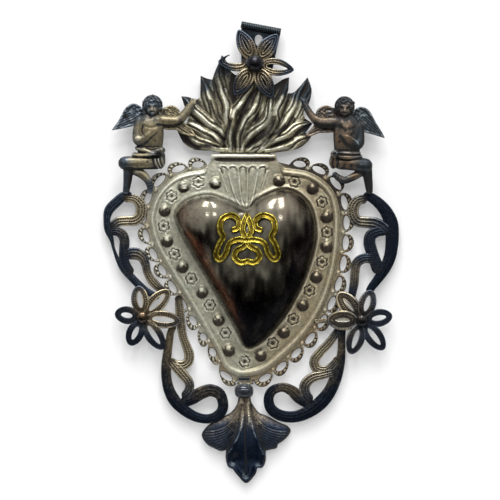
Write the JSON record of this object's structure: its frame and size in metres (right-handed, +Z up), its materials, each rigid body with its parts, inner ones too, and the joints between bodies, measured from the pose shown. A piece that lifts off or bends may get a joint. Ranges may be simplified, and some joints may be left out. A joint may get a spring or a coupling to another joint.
{
  "type": "ex-voto heart",
  "caption": "Wall-hung ex-voto heart: domed sheet-metal heart in a studded border with lace edge, flames, two cherubs, scrolls, rosettes and a leaf.",
  "frame": {"origin": "on the wall face of the back plate, in the middle of the heart", "axes": "+Z up along the ornament to its hanging tab, +X to the viewer's right, +Y into the wall; the front faces -Y"},
  "size_m": [0.148, 0.0196, 0.2313],
  "materials": {
    "pale_brass": "worn silvered sheet, pale grey-olive, dull",
    "grey_brass": "worn silvered sheet, sage grey with dark recesses, satin",
    "dark_dome": "tarnished silvered sheet, near black with red-brown wear, polished",
    "gilt": "gilt, bright",
    "olive_brass": "patinated sheet, olive ridges and black recesses, satin",
    "blue_black": "patinated sheet, blue-black, satin",
    "bronze": "patinated casting and sheet, olive bronze, satin",
    "dark_ball": "patinated ball, dark grey, polished"
  },
  "bodies": {
    "root": {"back_plate": "pale_brass", "lace_gallery": "pale_brass", "heart_border": "grey_brass", "heart_dome": "dark_dome", "gilt_ornament": "gilt", "flame_burst": "olive_brass", "hanging_tab": "blue_black", "left_putto": "bronze", "right_putto": "bronze", "upper_left_scroll": "blue_black", "upper_right_scroll": "blue_black", "lower_left_scroll": "blue_black", "lower_right_scroll": "blue_black", "left_rosette": "bronze", "right_rosette": "bronze", "top_rosette": "bronze", "left_rosette_ball": "dark_ball", "right_rosette_ball": "dark_ball", "top_rosette_ball": "dark_ball", "right_rosette_bar": "pale_brass", "acanthus_leaf": "blue_black", "leaf_collar": "dark_ball"}
  },
  "joints": []
}
